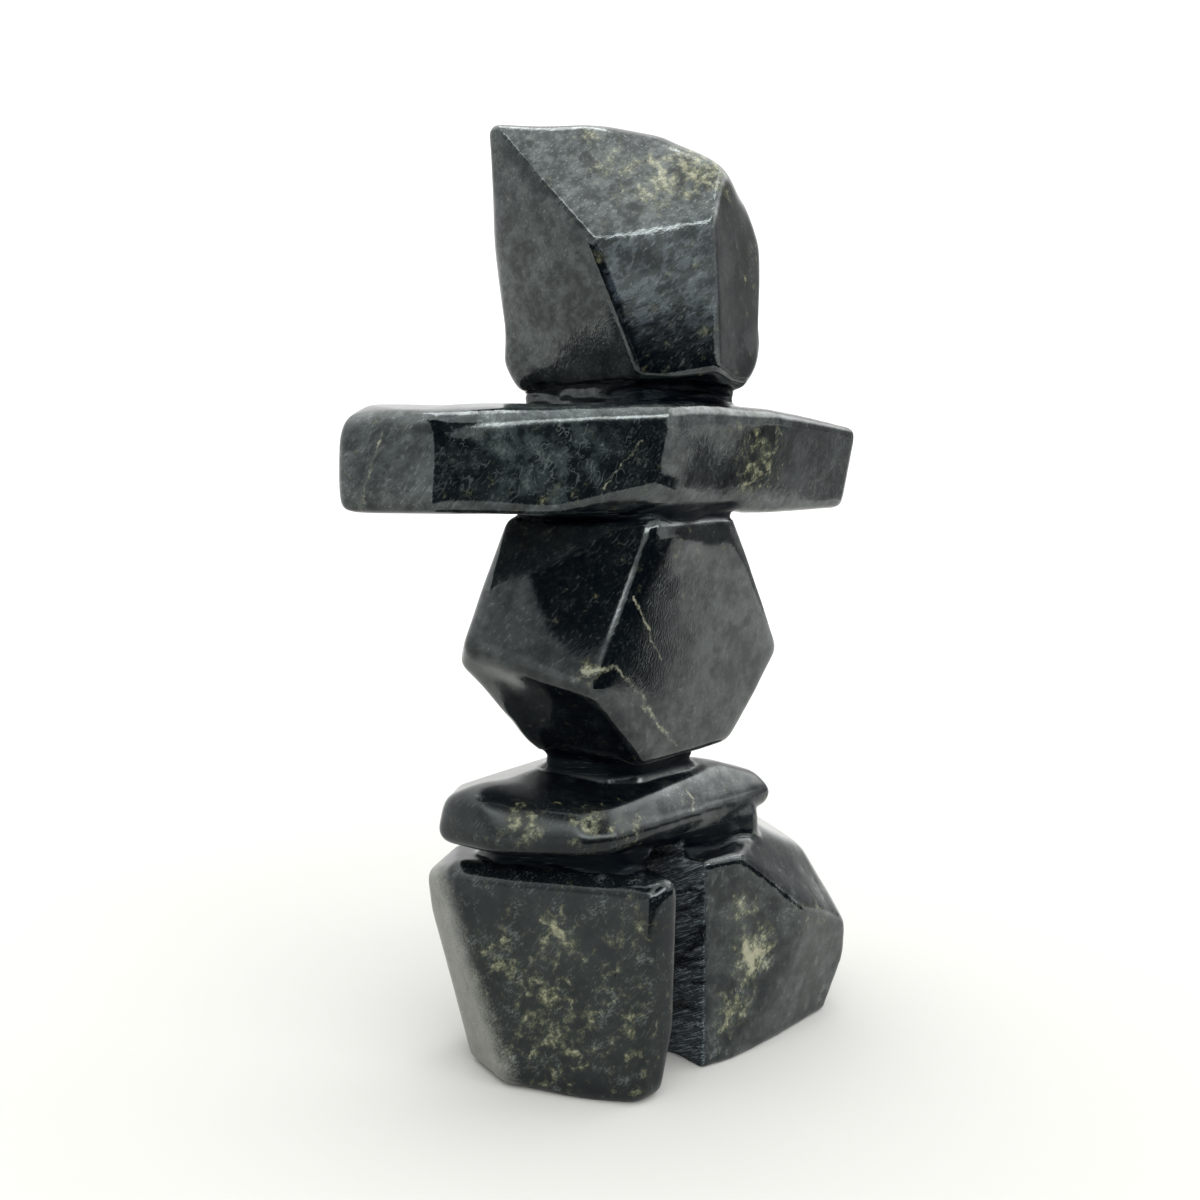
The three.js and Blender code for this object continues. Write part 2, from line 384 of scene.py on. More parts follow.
# The strokes wander up and down: the size and the sway of that in millimetres, and the seed
WANDER = (14.0, 1.2, 20)
SLOT_SLOPE = 0.35


def stroke_depth(places, slope_x, slope_y):
    """How deep the rasp bites, in millimetres, for strokes that slope with x and y."""
    size, sway, seed = WANDER
    height = places[:, 2] + slope_x * places[:, 0] + slope_y * places[:, 1] + sway * noise(places, size, seed)
    laid = np.column_stack([places[:, 0], places[:, 1], height])
    return sum(
        depth * (1 - np.abs(noise(laid, np.array([length, length, width]), seed))) ** VALLEY
        for length, width, depth, seed in STROKES
    )


bite = slot_weight(skin) * stroke_depth(skin, 0.0, SLOT_SLOPE)
for centre, half, heights, slope in NECKS.values():
    bite = np.maximum(bite, neck_weight(skin, centre, half, heights) * stroke_depth(skin, slope, 0.0))
print("deepest rasp groove, mm:", round(float(bite.max()), 2))

# %% [markdown]
# ## Pits and nicks
#
# The softer green and yellow minerals break out in small pits, mostly low on the legs where the polish is
# thin. Noise that has to rise above a high mark leaves such pits here and there and nothing between them.

# %% Pit the legs
PIT_SIZE = 1.9
PIT_DEPTH = 0.06
PIT_MARKS = (0.75, 0.50)
PIT_SEED = 31
LEG_HEIGHTS = (20, 75)


def move_to(mesh, places):
    """Puts the vertices of a mesh at places given in millimetres."""
    mesh.vertices.foreach_set("co", (places * MM).ravel())
    mesh.update()


low_down = fade(skin[:, 2], *LEG_HEIGHTS)
pits = PIT_DEPTH * low_down * fade(noise(skin, PIT_SIZE, PIT_SEED), *PIT_MARKS)
skin = skin - outward * (bite + pits)[:, None]
skin[:, 2] = np.maximum(skin[:, 2], 0)
move_to(figure.data, skin)
print("share of the skin in a pit:", round(float((pits > PIT_DEPTH / 2).mean()), 3))

# %% [markdown]
# ## Thin out the flat places
#
# The even grid spends as many faces on a flat facet as on a rasp groove. A Decimate modifier merges faces
# where the surface barely bends and keeps them where it is worked, so the figure stays light to handle.

# %% Thin the mesh
MOST_TRIANGLES = 190_000


def triangles(mesh):
    """How many triangles the faces of a mesh make."""
    return sum(len(face.vertices) - 2 for face in mesh.polygons)


before = triangles(figure.data)
thinning = figure.modifiers.new("thinning", "DECIMATE")
thinning.ratio = MOST_TRIANGLES / before
bake_modifiers(figure)
figure.data.polygons.foreach_set("use_smooth", np.ones(len(figure.data.polygons), bool))
print("triangles before and after:", before, triangles(figure.data))

# %% [markdown]
# ## Places where the mottles crowd
#
# Yellow and olive mottles crowd together on the brow, the right arm, the hips and both legs. Noise alone
# would scatter them evenly. A list of round places, read off the photograph, says where they crowd and how
# strongly, and the noise of the shader then gives each blotch its own outline.

# %% Places where the mottles crowd
# Centre and reach in millimetres, and how strongly the mottles crowd there
CROWDED = 0.15
MOTTLED = {
    "brow, right": ((8, -27, 261), 19, 1.25),
    "brow, middle": ((-8, -21, 255), 15, 1.1),
    "brow, left": ((-15, -11, 265), 12, 0.8),
    "right cheek": ((26, -28, 236), 16, 0.45),
    "face, low right": ((3.7, -35, 215.4), 5, 1.1),
    "arm, right": ((30, -31, 180), 20, 0.95),
    "arm, left": ((-61, -19, 187), 7, 0.4),
    "arm, lower edge": ((-46, -24, 171), 5, 0.6),
    "torso, top": ((-4.5, -31, 154), 5, 0.9),
    "torso, ridge": ((-34, -27, 123.5), 6, 1.0),
    "hip, left column": ((-43, -9, 79), 10, 1.3),
    "hip, corner": ((-30, -23, 79), 10, 1.0),
    "hip, middle": ((-20, -28, 77), 8, 0.9),
    "left leg, top": ((-34, -13, 46), 9, 0.85),
    "left leg, left": ((-43, 2, 40), 12, 0.6),
    "left leg": ((-34, -18, 30), 46, 0.42),
    "left leg, middle": ((-38, -10, 28), 17, 0.45),
    "left leg, by the slot": ((-20, -32, 50), 9, 0.8),
    "left leg, low": ((-37, -16, 14), 20, 0.35),
    "left leg, foot": ((-24, -36, 10), 16, 0.3),
    "left leg, inner": ((-22, -33, 30), 14, 0.4),
    "right leg, seam": ((21, -36, 46), 10, 1.1),
    "right leg, heart": ((25, -36, 31), 12, 2.0),
    "right leg, below": ((17, -35, 15), 12, 1.2),
    "right leg, right": ((52, -36, 36), 16, 0.5),
}


def crowding_at(places):
    """How strongly the mottles crowd at each place."""
    total = np.zeros(len(places))
    for centre, reach, strength in MOTTLED.values():
        total += strength * fade(np.linalg.norm(places - centre, axis=1), CROWDED * reach, reach)
    return total


skin = positions(figure.data)
crowding = crowding_at(skin)
print("strongest crowding:", round(float(crowding.max()), 2))

# %% [markdown]
# ## Facets with a finish of their own
#
# The face, the brow, the left cheek and the arms of the real figure have a livelier grain in their polish
# than the rest. A facet could be picked by its faces' numbers, but those change with every edit of the form.
# The side that it faces and its height stay the same, so they say which vertices belong to it.

# %% Lively facets
# The heading and rise that a facet faces, in degrees, and how squarely a vertex has to face the same way
FACE_SIDE = ((-28.0, -3.0), (0.97, 0.88))
BROW_SIDE = ((-36.0, 27.0), (0.96, 0.88))
CHEEK_SIDE = ((-88.0, -12.0), (0.96, 0.88))

# Heights where a zone is full, each with the height at which it has ended
FACE_FROM = (220, 208)
BROW_FROM = (236, 230)
CHEEK_FROM = (200, 195)
ARM_BAND = ((166, 160), (195, 200))

# Round places: the centre, then how far from it the place is full and where it has ended, in millimetres
FACE_PLACE = ((-7, -29, 230), (30, 42))
REFLECTION_HAZE_PLACE = ((-47, -23, 182), (6, 30))

outward = directions(figure.data)
height = skin[:, 2]


def facet(side, squarely):
    """1 where the stone faces a side."""
    return fade(outward @ facing(*side), *squarely)


def round_place(centre, reach):
    """1 around a centre."""
    return fade(np.linalg.norm(skin - centre, axis=1), *reach)


def band(low, high):
    """1 between two heights."""
    return fade(height, *low) * fade(height, *high)


on_face = facet(*FACE_SIDE) * round_place(*FACE_PLACE)
on_cheek = facet(*CHEEK_SIDE) * fade(height, *CHEEK_FROM)
on_brow = facet(*BROW_SIDE) * fade(height, *BROW_FROM)
on_arms = band(*ARM_BAND)

# How lively the grain is: a little everywhere, and most on the brow
lively = 0.10 + 0.9 * on_face + 1.3 * on_brow + 0.6 * on_cheek + 0.5 * on_arms
print("liveliest vertex:", round(float(lively.max()), 2))

# %% [markdown]
# ## Store the finish on the vertices
#
# Each finish is a number on every vertex: how raw the stone is, how dull, how lively, and so on. Worked out
# once here and stored as attributes of the mesh, they keep the shader small, and the shine stops exactly
# where the rasp began. The dull skin, whose pale colour is partly painted reflection, lies on the left side of
# the left leg, further left low down.

# %% Store the finish on the vertices
CAMERA_RIGHT = (47, 0)
DULL_SLANT = 0.41
DULL_REACH = (33, 17)
DULL_BAND = (60, 68)
DULL_BACK = (0.35, 0.80)
REFLECTION_HAZE_FROM = (166, 160)
HIP_BAND = ((70, 64), (88, 96))
LEG_BAND = (60, 90)
BELOW_TORSO = (88, 96)
LEFT_OF_MIDDLE = (-14, -6)

# The pale side is placed by its distance to the left as the camera sees it: partly painted reflection
to_left = -skin @ facing(*CAMERA_RIGHT) - DULL_SLANT * height
finish = {
    "rasped": rasped_weight(skin),
    "slot": slot_weight(skin),
    "dull_and_lit": fade(to_left, *DULL_REACH) * fade(height, *DULL_BAND) * fade(outward[:, 1], *DULL_BACK),
    "face": on_face * fade(height, *FACE_FROM),
    "arms": on_arms,
    "lively": lively,
    "reflection_haze": round_place(*REFLECTION_HAZE_PLACE) * fade(height, *REFLECTION_HAZE_FROM),
    "hips": band(*HIP_BAND),
    "legs": fade(height, *LEG_BAND),
    "left_low": fade(height, *BELOW_TORSO) * fade(skin[:, 0], *LEFT_OF_MIDDLE),
    "crowding": crowding,
}
for name, values in finish.items():
    made = figure.data.attributes.new(name, "FLOAT", "POINT")
    made.data.foreach_set("value", values.astype(np.float32))
print("stored on each vertex:", ", ".join(finish))

# %% [markdown]
# ## Sums on shader wires
#
# A stone shader is mostly arithmetic: masks are multiplied, heights are added. Dozens of hand-wired Math
# nodes hide that, so a small class wraps one output of a node. Sums written with it in plain Python add the
# Math nodes, and one method adds any other node.

# %% A wire that does sums
class Wire:
    """One output of a shader node."""

    def __init__(self, tree, socket=None):
        self.tree = tree
        self.socket = socket

    def node(self, kind, settings=None, inputs=None, output=0):
        """Adds a node: its settings come first, then a wire or a plain value for each named input."""
        made = self.tree.nodes.new(kind)
        for name, value in (settings or {}).items():
            setattr(made, name, value)
        for name, value in (inputs or {}).items():
            if isinstance(value, Wire):
                self.tree.links.new(value.socket, made.inputs[name])
            else:
                made.inputs[name].default_value = value
        return Wire(self.tree, made.outputs[output] if made.outputs else None)

    def math(self, operation, first, second):
        return self.node("ShaderNodeMath", {"operation": operation}, {0: first, 1: second})

    def __add__(self, other):
        return self.math("ADD", self, other)

    def __radd__(self, other):
        return self.math("ADD", other, self)

    def __sub__(self, other):
        return self.math("SUBTRACT", self, other)

    def __rsub__(self, other):
        return self.math("SUBTRACT", other, self)

    def __mul__(self, other):
        return self.math("MULTIPLY", self, other)

    def __rmul__(self, other):
        return self.math("MULTIPLY", other, self)


print("a wire can now be added, subtracted and multiplied")

# %% [markdown]
# ## Small helpers for materials
#
# Three things come back in every material here: a soft step between two values, a blend of two colours, and
# a fresh material with an empty node tree. Each gets a short name, so that the shader reads like a recipe.

# %% Helpers for materials
def rising(value, low, high):
    """A smooth change from 0 where value is low to 1 where it is high."""
    settings = {"interpolation_type": "SMOOTHSTEP"}
    return value.node("ShaderNodeMapRange", settings, {"Value": value, "From Min": low, "From Max": high})


def blended(share, first, second):
    """The first colour where share is 0 and the second where it is 1."""
    return share.node("ShaderNodeMix", {"data_type": "RGBA"}, {0: share, 6: first, 7: second}, 2)


def colour(red, green, blue):
    """A colour with its alpha."""
    return (red, green, blue, 1.0)


def new_material(name):
    """An empty material: its node tree as a wire to build on, and the material."""
    made = bpy.data.materials.new(name)
    made.use_nodes = True
    made.node_tree.nodes.clear()
    return made, Wire(made.node_tree)


stone, paper = new_material("serpentine")
print("new material:", stone.name)

# %% [markdown]
# ## Noise that runs through the stone
#
# Painting an image would fix the pattern to one side of the figure. Noise in the figure's own millimetres
# runs through the stone instead, so it also shows true where a cut crosses it. The real stone has a grain
# like wood: most things in it are drawn out along one slanting line, so the noise can be drawn out as well.

# %% Coordinates and noise
GRAIN_HEADING = 47

place = paper.node("ShaderNodeTexCoord", output="Object")
place = paper.node("ShaderNodeVectorMath", {"operation": "SCALE"}, {0: place, "Scale": 1 / MM})
stored = {name: paper.node("ShaderNodeAttribute", {"attribute_name": name}, output="Fac") for name in finish}


def zoned(everywhere, **more):
    """A number with one value everywhere, and with more where each stored place is."""
    return sum((extra * stored[name] for name, extra in more.items()), everywhere)


def grain(size, detail=2.0, vector=place, roughness=0.5):
    """Noise from 0 to 1 with lumps of a size in millimetres."""
    inputs = {"Vector": vector, "Scale": 1 / size, "Detail": detail, "Roughness": roughness}
    return paper.node("ShaderNodeTexNoise", {}, inputs)


def drawn_out(heading, lean, lengths):
    """Coordinates for lumps drawn out along a line that leans from upright towards a heading, in degrees."""
    angles = (0.0, math.radians(lean), math.radians(heading - 90))
    inputs = {"Vector": place, "Rotation": angles, "Scale": lengths}
    return paper.node("ShaderNodeMapping", {"vector_type": "TEXTURE"}, inputs)


print("numbers read from the vertices:", len(stored))

# %% [markdown]
# ## The body of the stone
#
# Polished serpentine is almost black, with a green cast and slow clouds of a lighter grey green. On the
# front of the left arm a haze of the same grey green is painted reflection. The clouds are two layers of slow
# noise that blend one plain colour into the other.

# %% Clouds
NEARLY_BLACK = colour(0.0006, 0.0014, 0.0024)
GREY_GREEN = colour(0.022, 0.029, 0.030)
SLOW_SIZE = 16
MIDDLING_SIZE = 6

# How much grey green the clouds bring, and between which values of the noise they set in
CLOUDS = {"everywhere": 0.04, "arms": 0.10, "legs": 0.05}
CLOUD_MARKS = (0.40, 0.62)
# Painted reflection: a grey-green haze, with billows, on the front of the left arm
ARM_REFLECTION_HAZE = 0.12
ARM_REFLECTION_BILLOWS = 0.65
BILLOW_MARKS = (0.42, 0.58)

slow = grain(SLOW_SIZE, 6, roughness=0.7)
middling = grain(MIDDLING_SIZE, 3, roughness=0.6)
clouds = rising(slow, *CLOUD_MARKS) * zoned(**CLOUDS)
clouds = clouds + stored["reflection_haze"] * (ARM_REFLECTION_HAZE + ARM_REFLECTION_BILLOWS * rising(middling, *BILLOW_MARKS))
body = blended(clouds, NEARLY_BLACK, GREY_GREEN)
print("nodes for the body:", len(stone.node_tree.nodes))

# %% [markdown]
# ## Yellow and olive mottles
#
# Softer minerals show as olive, tan and cream blotches. Noise gives blotches of the right size and a warp
# bends them. Where the stored number is high, more of the noise rises over the mark and the blotches crowd.

# %% Mottles
OLIVE = colour(0.056, 0.060, 0.032)
CREAM = colour(0.235, 0.226, 0.150)

# Sizes and the reach of the warp in millimetres
BLOTCH_SIZE = 3.4
FINE_SIZE = 0.55
WARP_SIZE = 3.0
WARP_REACH = 2.2

# How far crowding lifts the noise, how far fine grain frays it, and the marks it has to rise over
CROWDING_LIFT = 0.20
OLIVE_FRAY = 0.15
OLIVE_MARKS = (0.68, 0.90)
CREAM_FRAY = 0.60
CREAM_MARKS = (1.00, 1.26)
MOTTLE_COVER = 0.75
MOTTLE_HAZE = 0.07

warp = paper.node("ShaderNodeTexNoise", {}, {"Vector": place, "Scale": 1 / WARP_SIZE, "Detail": 2.0}, "Color")
warp = paper.node("ShaderNodeVectorMath", {"operation": "SCALE"}, {0: warp, "Scale": WARP_REACH})
ragged = paper.node("ShaderNodeVectorMath", {"operation": "ADD"}, {0: place, 1: warp})
blotches = grain(BLOTCH_SIZE, 4, ragged, 0.6) + CROWDING_LIFT * stored["crowding"]
fine = grain(FINE_SIZE, 3, drawn_out(GRAIN_HEADING, 50, (1.0, 1.0, 2.0)), 0.75)
mottle = rising(blotches + OLIVE_FRAY * fine, *OLIVE_MARKS)
pale = rising(blotches + CREAM_FRAY * fine, *CREAM_MARKS)
mottle_colour = blended(pale, OLIVE, CREAM)
haze = MOTTLE_HAZE * stored["crowding"] * middling
stone_colour = blended(mottle * MOTTLE_COVER + haze, body, mottle_colour)
print("nodes with the mottles:", len(stone.node_tree.nodes))

# %% [markdown]
# ## Pale veins
#
# A vein is a crack that filled with lighter mineral, a thin sheet that shows as a line on the surface. Each
# one here is a chain of strips that run into the stone from the front left, and what counts is the distance
# to the nearest of them. Noise bends the strips, frays their edges and breaks them.

# %% Where the veins run
# Half the thickness, then the places that the vein runs through, all in millimetres
VEINS = {
    "left hand": (0.26, (-81, -1, 187), (-82.5, 0, 180), (-84, 3, 172), (-84, 6, 166)),
    "torso, blob": (0.50, (-35, -26, 123), (-29, -31, 124)),
    "torso, hook": (0.30, (-29, -31, 124), (-22, -30, 120), (-16, -29, 114)),
    "torso, down to the waist": (0.36, (-16, -29, 114), (-9, -27, 106), (2, -25, 97)),
    "torso, along the ridge": (0.22, (-21, -31, 143), (-18, -31, 137), (-8, -29, 123)),
    "middle of the arms": (0.14, (-31, -29, 172), (-21, -34, 185)),
    "hip, right": (0.26, (10, -22, 82), (9, -26, 76)),
}
print("strips of vein:", sum(len(vein) - 2 for vein in VEINS.values()))

# %% Draw the veins
VEIN_COLOUR = colour(0.16, 0.165, 0.12)
VEIN_DEPTH = Vector((0.69, 0.72, 0.0)).normalized()

# The noise that bends the strips, in millimetres
BEND_SIZE = 5.0
BEND_REACH = 4.0

# How wide a vein reaches, how much wider where it frays, and its clear core, all for half a thickness of 1
VEIN_REACH = 1.1
VEIN_FRAYED = 2.0
VEIN_CORE = 0.3
FRAY_MARKS = (0.40, 0.62)

# How strongly it shows where it is broken off, and how much more where it is whole
VEIN_FAINT = 0.15
VEIN_WHOLE = 0.65
BREAK_FRAY = 0.4
BREAK_MARKS = (0.66, 0.82)


def strip_distance(start, end):
    """The distance in millimetres from a strip that runs into the stone below the line between two places."""
    start, end = (Vector(stop) - VEIN_DEPTH * VEIN_DEPTH.dot(stop) for stop in (start, end))
    run = end - start
    off = paper.node("ShaderNodeVectorMath", {"operation": "SUBTRACT"}, {0: wandering, 1: start})
    pace = run / run.length_squared
    along = paper.node("ShaderNodeVectorMath", {"operation": "DOT_PRODUCT"}, {0: off, 1: pace}, "Value")
    along = along.node("ShaderNodeMath", {"operation": "MAXIMUM", "use_clamp": True}, {0: along, 1: 0.0})
    nearest = paper.node("ShaderNodeVectorMath", {"operation": "SCALE"}, {0: tuple(run), "Scale": along})
    return paper.node("ShaderNodeVectorMath", {"operation": "DISTANCE"}, {0: off, 1: nearest}, "Value")


bend = paper.node("ShaderNodeTexNoise", {}, {"Vector": place, "Scale": 1 / BEND_SIZE, "Detail": 5.0}, "Color")
bend = paper.node("ShaderNodeVectorMath", {"operation": "SUBTRACT"}, {0: bend, 1: (0.5, 0.5, 0.5)})
bend = paper.node("ShaderNodeVectorMath", {"operation": "SCALE"}, {0: bend, "Scale": BEND_REACH})
wandering = paper.node("ShaderNodeVectorMath", {"operation": "ADD"}, {0: place, 1: bend})
inward = paper.node("ShaderNodeVectorMath", {"operation": "PROJECT"}, {0: wandering, 1: tuple(VEIN_DEPTH)})
wandering = paper.node("ShaderNodeVectorMath", {"operation": "SUBTRACT"}, {0: wandering, 1: inward})
fray = rising(fine, *FRAY_MARKS)
veins = 0.0
for half, *stops in VEINS.values():
    for start, end in itertools.pairwise(stops):
        reach = (VEIN_REACH + VEIN_FRAYED * fray) * half
        strip = rising(strip_distance(start, end), reach, VEIN_CORE * half)
        veins = strip.node("ShaderNodeMath", {"operation": "MAXIMUM"}, {0: veins, 1: strip})
whole = rising(blotches + BREAK_FRAY * fine, *BREAK_MARKS)
stone_colour = blended(veins * (VEIN_FAINT + VEIN_WHOLE * whole), stone_colour, VEIN_COLOUR)
print("nodes with the veins:", len(stone.node_tree.nodes))

# %% [markdown]
# ## Fine flecks
#
# Up close the polish is full of pale slivers, a millimetre or two long and hardly thicker than a hair, all
# lying roughly along the grain of the stone, and of short crooked lines. Their pale colour is partly the
# stone's own and partly painted glints of the fine relief. Noise drawn out along one direction gives the
# slivers, and the lines run where noise passes through its middle value.

# %% Slivers and crooked lines
# Slivers and crooked lines gather in patches. Each strength is a share everywhere and more in some places.
GATHERED_MARKS = (0.68, 0.84)
SLIVER_MARKS = (0.58, 0.67)
SLIVERS = {"everywhere": 0.10, "lively": 0.35}
SLIVERS_GATHERED = 0.60
LINE_THICKNESS = 0.034
LINE_CORE = 0.3
LINE_BREAKS = 1.3
LINE_MARKS = (0.51, 0.60)
LINES = {"everywhere": 0.10, "arms": 0.50, "reflection_haze": 0.50}


def squiggles(size, vector):
    """Short crooked lines: where noise passes through its middle value, broken up by other noise."""
    field = grain(size, 1, vector) - 0.5
    line = field.node("ShaderNodeMath", {"operation": "ABSOLUTE"}, {0: field})
    line = rising(line, LINE_THICKNESS, LINE_CORE * LINE_THICKNESS)
    return line * rising(grain(LINE_BREAKS * size, 1, vector), *LINE_MARKS)


gathered = rising(slow + 0.5 * middling, *GATHERED_MARKS)
slivers = grain(FINE_SIZE, 2, drawn_out(GRAIN_HEADING, 40, (1.0, 1.0, 4.5)), 0.6)
crooked = squiggles(2.6, drawn_out(GRAIN_HEADING, 25, (1.0, 1.0, 1.7)))
crooked = crooked + squiggles(1.6, drawn_out(GRAIN_HEADING, 70, (1.0, 1.0, 1.5))) * (1 - gathered)
sliver = rising(slivers, *SLIVER_MARKS) * (zoned(**SLIVERS) + SLIVERS_GATHERED * gathered)
flecks_and_glints = sliver + crooked * zoned(**LINES)
print("nodes with the flecks:", len(stone.node_tree.nodes))

# %% [markdown]
# ## Speckles, glints and painted highlights
#
# Between the flecks the legs and the arms are finely speckled, partly in the stone's own colour and partly as
# painted glints. The face gets drawn-out bluish lumps, painted highlights of its fine relief. Both are layers
# of noise again. All of it is laid over the colour so far at a low strength.

# %% Speckles and lumps
# Pale colour of the flecks and speckles: partly their own, partly painted glints
FLECK_AND_GLINT_COLOUR = colour(0.105, 0.125, 0.12)
FLECK_AND_GLINT_COVER = 0.22
SPECKLE_AND_GLINT_MARKS = (0.98, 1.18)
SPECKLES_AND_GLINTS = {"everywhere": 0.05, "arms": 0.08, "reflection_haze": 0.20, "legs": 0.30}
# Painted highlights: bluish lumps that stand for the shine of the face's fine relief
LUMP_HIGHLIGHT_COLOUR = colour(0.085, 0.110, 0.140)
LUMP_MARKS = (0.44, 0.62)
LUMP_HIGHLIGHT_COVER = 0.17

speckle_and_glint = rising(middling + 0.8 * fine, *SPECKLE_AND_GLINT_MARKS) * zoned(**SPECKLES_AND_GLINTS)
streaks = grain(2.2, 4, drawn_out(GRAIN_HEADING, 56, (1.0, 1.0, 1.9)), 0.62)
lumps = rising(streaks, *LUMP_MARKS)
stone_colour = blended(flecks_and_glints * FLECK_AND_GLINT_COVER + speckle_and_glint, stone_colour, FLECK_AND_GLINT_COLOUR)
stone_colour = blended(LUMP_HIGHLIGHT_COVER * lumps * stored["face"], stone_colour, LUMP_HIGHLIGHT_COLOUR)
print("nodes with the speckles:", len(stone.node_tree.nodes))

# %% [markdown]
# ## Raw stone
#
# Where the rasp left the stone it is matt and dark, and crushed mineral makes the ridges between strokes look
# greyish white. In the necks, under the overhangs, the dark is partly painted shade: they get much less of
# the grey than the slot. Fine scratches follow the same long directions as the carved grooves, too thin to be
# worth real faces. In the slot two sets of them cross.

# %% Rasp scratches
# Dark of the raw stone: its own colour, and in the necks partly painted shade
RAW_DARK_AND_SHADE = colour(0.0004, 0.0009, 0.0020)
RAW_LIGHT = colour(0.13, 0.155, 0.17)

# How much dust lies on the scratches, and between which values of the noise
NECK_DUST = 0.22
NECK_MARKS = (0.60, 0.76)
SLOT_GREY = 0.16
SLOT_DUST = 1.1
ALONG_DUST = 0.85
ALONG_MARKS = (0.50, 0.66)
ACROSS_DUST = 0.35
ACROSS_MARKS = (0.52, 0.66)

along_neck = grain(0.7, 3, drawn_out(GRAIN_HEADING, 86, (1.0, 12.0, 14.0)), 0.65)
along_slot = grain(0.36, 2, drawn_out(0, 62, (1.0, 1.0, 26.0)), 0.6)
across_slot = grain(0.36, 2, drawn_out(0, 98, (1.0, 1.0, 20.0)), 0.6)
scratches = 0.5 * along_neck + 0.35 * along_slot + 0.15 * across_slot
neck_dust = NECK_DUST * rising(along_neck, *NECK_MARKS) * (1 - stored["slot"])
slot_dust = ALONG_DUST * rising(along_slot, *ALONG_MARKS)
slot_dust = slot_dust + ACROSS_DUST * rising(across_slot, *ACROSS_MARKS) * gathered
raw_colour = blended(neck_dust + (SLOT_GREY + SLOT_DUST * slot_dust) * stored["slot"], RAW_DARK_AND_SHADE, RAW_LIGHT)
print("nodes with the raw stone:", len(stone.node_tree.nodes))

# %% [markdown]
# ## A dull skin and painted reflection on the left leg
#
# On the left side of the left leg the polish is thin, and the stone has a dull, speckled skin. Its pale colour
# is partly the skin's own and partly painted reflection. The stored number says where, and noise frays its
# border into specks. A plain mask would end in a clean line.

# %% Dull skin
# Pale colour of the dull skin, partly its own and partly painted reflection
DULL_SKIN_AND_REFLECTION = colour(0.25, 0.255, 0.22)

# How strongly each layer counts, the marks that their sum has to rise over, and how far the skin covers
WORN_DULL_AND_LIT = 1.1
WORN_MIDDLING = 0.7
WORN_FINE = 0.9
WORN_MARKS = (1.15, 2.05)
WORN_AND_LIT_COVER = 0.5

worn_and_lit = WORN_DULL_AND_LIT * stored["dull_and_lit"] + WORN_MIDDLING * middling + WORN_FINE * fine
worn_and_lit = WORN_AND_LIT_COVER * rising(worn_and_lit, *WORN_MARKS)
stone_colour = blended(worn_and_lit, stone_colour, DULL_SKIN_AND_REFLECTION)
print("nodes with the dull skin:", len(stone.node_tree.nodes))

# %% [markdown]
# ## Fine relief and roughness
#
# The polish follows relief that is too fine for real faces: slivers stand out by a few hundredths of a
# millimetre, and scratches cut in by a quarter. A Bump node takes a height in millimetres and tilts the
# shading to match. The polish is also a little rougher on soft minerals, and on the hips.

# %% Fine relief and roughness
# The height of each relief in millimetres
SLIVER_RELIEF = 0.016
STREAK_RELIEF = 0.085
WORN_RELIEF = 0.10
SCRATCH_RELIEF = 0.24

# The roughness of the polish, and how much rougher it is on each thing
POLISH = {"everywhere": 0.07, "hips": 0.12}
ROUGHER_SLOWLY = 0.05
ROUGHER_MOTTLES = 0.12
ROUGHER_FLECKS = 0.06
ROUGHER_WORN = 0.25

relief = SLIVER_RELIEF * slivers + STREAK_RELIEF * streaks * stored["lively"] + WORN_RELIEF * streaks * worn_and_lit
relief = relief + SCRATCH_RELIEF * scratches * stored["rasped"]
bump = paper.node("ShaderNodeBump", {}, {"Strength": 1.0, "Distance": MM, "Height": relief}, "Normal")

roughness = zoned(**POLISH) + ROUGHER_SLOWLY * slow + ROUGHER_MOTTLES * mottle
roughness = roughness + ROUGHER_FLECKS * flecks_and_glints + ROUGHER_WORN * worn_and_lit
print("nodes with the relief:", len(stone.node_tree.nodes))

# %% [markdown]
# ## Shine
#
# The polish mirrors the room, so how strongly it mirrors matters more than the colour below it. The minerals
# differ in that too, and this is the grain that shows all over the real stone: a mix of a dim and a bright
# polish, which changes in slow patches, in drawn-out lumps and in single slivers. Raw stone hardly mirrors.

# %% Polish
DIM_REFRACTION = 1.38
BRIGHT_REFRACTION = 1.84
GREEN_CAST = colour(0.90, 1.0, 0.985)

# The share of the bright polish: in patches, on lumps and on slivers, and how much of it goes low on the left
SHEEN = 0.12
SHEEN_PATCHES = 0.42
PATCH_MARKS = (0.42, 0.58)
SHEEN_LUMPS = {"everywhere": 0.12, "lively": 0.24}
SHEEN_SLIVERS = 0.75
DIM_LOW_LEFT = 0.85


def polish(refraction):
    """The polished stone, with how strongly it bends light, which also sets how strongly it mirrors."""
    inputs = {"Base Color": stone_colour, "Roughness": roughness, "IOR": refraction}
    return paper.node("ShaderNodeBsdfPrincipled", {}, inputs | {"Specular Tint": GREEN_CAST, "Normal": bump})


patches = rising(0.6 * slow + 0.4 * middling, *PATCH_MARKS)
sheen = SHEEN + SHEEN_PATCHES * patches + zoned(**SHEEN_LUMPS) * lumps + SHEEN_SLIVERS * sliver
sheen = sheen * (1 - DIM_LOW_LEFT * stored["left_low"])
ends = {1: polish(DIM_REFRACTION), 2: polish(BRIGHT_REFRACTION)}
polished = paper.node("ShaderNodeMixShader", {}, {0: sheen} | ends)
print("nodes with the polish:", len(stone.node_tree.nodes))

# %% Raw stone, and the whole material
RAW_SHINE = 0.06
RAW_ROUGHNESS = 0.36
BLUE_CAST = colour(0.62, 0.90, 1.0)

